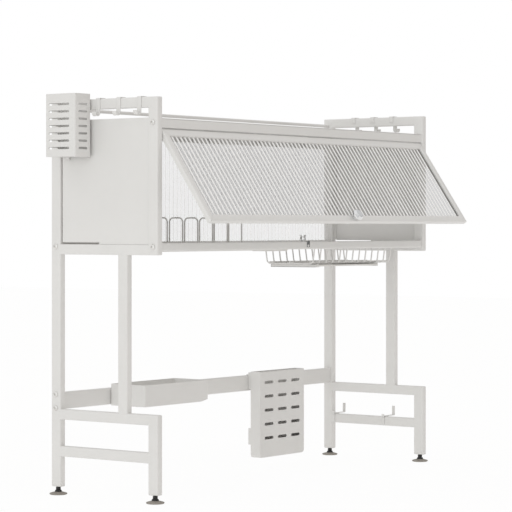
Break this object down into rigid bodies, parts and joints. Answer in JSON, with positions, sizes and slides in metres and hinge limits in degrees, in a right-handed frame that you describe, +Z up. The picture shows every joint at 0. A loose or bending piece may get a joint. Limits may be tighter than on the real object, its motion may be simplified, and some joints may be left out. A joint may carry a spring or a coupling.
{
  "type": "dish drainer cabinet",
  "caption": "Over-sink dish drainer: two footed side frames carry a cabinet with a flip-up reeded door, wire racks, drip trays, an open top shelf and hung holders.",
  "frame": {"origin": "middle of the whole part's footprint, on the surface that the feet stand on", "axes": "+X along the length to the right as seen from the front, +Y from the front to the back, +Z up"},
  "size_m": [1.041, 0.4094, 0.79],
  "materials": {
    "frame_tube": "satin white powder coat",
    "sheet_panels": "smooth white powder coat on sheet steel",
    "door_frame": "satin white powder coat",
    "hung_holders": "satin white powder coat",
    "wire_racks": "white coated wire",
    "trays": "smooth white plastic",
    "reeded_panels": "clear reeded plastic",
    "chrome_parts": "polished chrome plating",
    "fasteners": "plated steel",
    "foot_stems": "matt black plastic",
    "foot_bases": "matt warm grey plastic"
  },
  "bodies": {
    "frame": {"left_side_frame": "frame_tube", "right_side_frame": "frame_tube", "left_side_panel": "sheet_panels", "right_side_panel": "sheet_panels", "front_top_rail": "frame_tube", "back_top_rail": "frame_tube", "front_bottom_rail": "frame_tube", "back_bottom_rail": "frame_tube", "back_panel": "reeded_panels", "top_shelf": "sheet_panels", "lower_back_bar": "frame_tube", "rear_guard_rod": "frame_tube", "catch_clip": "chrome_parts", "catch_screw": "fasteners", "hinge_pin_left": "fasteners", "hinge_pin_right": "fasteners", "screw_front_top_left": "fasteners", "screw_front_bottom_left": "fasteners", "screw_back_top_left": "fasteners", "screw_back_bottom_left": "fasteners", "screw_bar_upper_left": "fasteners", "screw_bar_lower_left": "fasteners", "screw_front_top_right": "fasteners", "screw_front_bottom_right": "fasteners", "screw_back_top_right": "fasteners", "screw_back_bottom_right": "fasteners", "screw_bar_upper_right": "fasteners", "screw_bar_lower_right": "fasteners"},
    "door": {"door_top_member": "door_frame", "door_bottom_member": "door_frame", "door_left_member": "door_frame", "door_right_member": "door_frame", "door_panel": "reeded_panels", "door_knob": "chrome_parts", "catch_striker": "chrome_parts"},
    "left_tray": {"left_drip_tray": "trays"},
    "plate_rack": {"left_plate_rack": "wire_racks"},
    "dish_basket": {"right_dish_basket": "wire_racks"},
    "pull_out_tray": {"pull_out_drip_tray": "trays"},
    "utensil_cup": {"utensil_holder": "hung_holders"},
    "knife_box": {"knife_holder": "hung_holders"},
    "caddy": {"hanging_caddy": "hung_holders"},
    "left_bar_hook_1": {"left_hook_1": "hung_holders"},
    "left_bar_hook_2": {"left_hook_2": "hung_holders"},
    "left_bar_hook_3": {"left_hook_3": "hung_holders"},
    "right_bar_hook_1": {"right_hook_1": "hung_holders"},
    "right_bar_hook_2": {"right_hook_2": "hung_holders"},
    "right_bar_hook_3": {"right_hook_3": "hung_holders"},
    "front_bracket": {"board_bracket_front": "hung_holders"},
    "rear_bracket": {"board_bracket_rear": "hung_holders"},
    "foot_front_left": {"foot_stem_front_left": "foot_stems", "foot_base_front_left": "foot_bases"},
    "foot_back_left": {"foot_stem_back_left": "foot_stems", "foot_base_back_left": "foot_bases"},
    "foot_front_right": {"foot_stem_front_right": "foot_stems", "foot_base_front_right": "foot_bases"},
    "foot_back_right": {"foot_stem_back_right": "foot_stems", "foot_base_back_right": "foot_bases"}
  },
  "joints": [
    {"name": "door_hinge", "type": "hinge", "parent": "frame", "child": "door", "pos_m": [0, -0.06672, 0.7114], "axis": [-1, 0, 0], "range_deg": [-34.5, 55.5]},
    {"name": "left_tray_lift", "type": "slide", "parent": "frame", "child": "left_tray", "axis": [0, 0, 1], "range_m": [0, 0.03]},
    {"name": "plate_rack_lift", "type": "slide", "parent": "left_tray", "child": "plate_rack", "axis": [0, 0, 1], "range_m": [0, 0.04]},
    {"name": "dish_basket_lift", "type": "slide", "parent": "frame", "child": "dish_basket", "axis": [0, 0, 1], "range_m": [0, 0.03]},
    {"name": "pull_out_tray_slide", "type": "slide", "parent": "dish_basket", "child": "pull_out_tray", "axis": [0, -1, 0], "range_m": [0, 0.09]},
    {"name": "utensil_holder_lift", "type": "slide", "parent": "frame", "child": "utensil_cup", "axis": [0, 0, 1], "range_m": [0, 0.025]},
    {"name": "knife_holder_lift", "type": "slide", "parent": "frame", "child": "knife_box", "axis": [0, 0, 1], "range_m": [0, 0.03]},
    {"name": "caddy_lift", "type": "slide", "parent": "frame", "child": "caddy", "axis": [0, 0, 1], "range_m": [0, 0.03]},
    {"name": "left_hook_1_slide", "type": "slide", "parent": "frame", "child": "left_bar_hook_1", "axis": [0, 1, 0], "range_m": [-0.015, 0.015]},
    {"name": "left_hook_2_slide", "type": "slide", "parent": "frame", "child": "left_bar_hook_2", "axis": [0, 1, 0], "range_m": [-0.015, 0.015]},
    {"name": "left_hook_3_slide", "type": "slide", "parent": "frame", "child": "left_bar_hook_3", "axis": [0, 1, 0], "range_m": [-0.015, 0.01]},
    {"name": "right_hook_1_slide", "type": "slide", "parent": "frame", "child": "right_bar_hook_1", "axis": [0, 1, 0], "range_m": [-0.015, 0.015]},
    {"name": "right_hook_2_slide", "type": "slide", "parent": "frame", "child": "right_bar_hook_2", "axis": [0, 1, 0], "range_m": [-0.015, 0.015]},
    {"name": "right_hook_3_slide", "type": "slide", "parent": "frame", "child": "right_bar_hook_3", "axis": [0, 1, 0], "range_m": [-0.015, 0.015]},
    {"name": "front_bracket_slide", "type": "slide", "parent": "frame", "child": "front_bracket", "axis": [0, 1, 0], "range_m": [-0.03, 0.03]},
    {"name": "rear_bracket_slide", "type": "slide", "parent": "frame", "child": "rear_bracket", "axis": [0, 1, 0], "range_m": [-0.04, 0]},
    {"name": "foot_front_left_level", "type": "slide", "parent": "frame", "child": "foot_front_left", "axis": [0, 0, -1], "range_m": [0, 0.01]},
    {"name": "foot_back_left_level", "type": "slide", "parent": "frame", "child": "foot_back_left", "axis": [0, 0, -1], "range_m": [0, 0.01]},
    {"name": "foot_front_right_level", "type": "slide", "parent": "frame", "child": "foot_front_right", "axis": [0, 0, -1], "range_m": [0, 0.01]},
    {"name": "foot_back_right_level", "type": "slide", "parent": "frame", "child": "foot_back_right", "axis": [0, 0, -1], "range_m": [0, 0.01]}
  ]
}
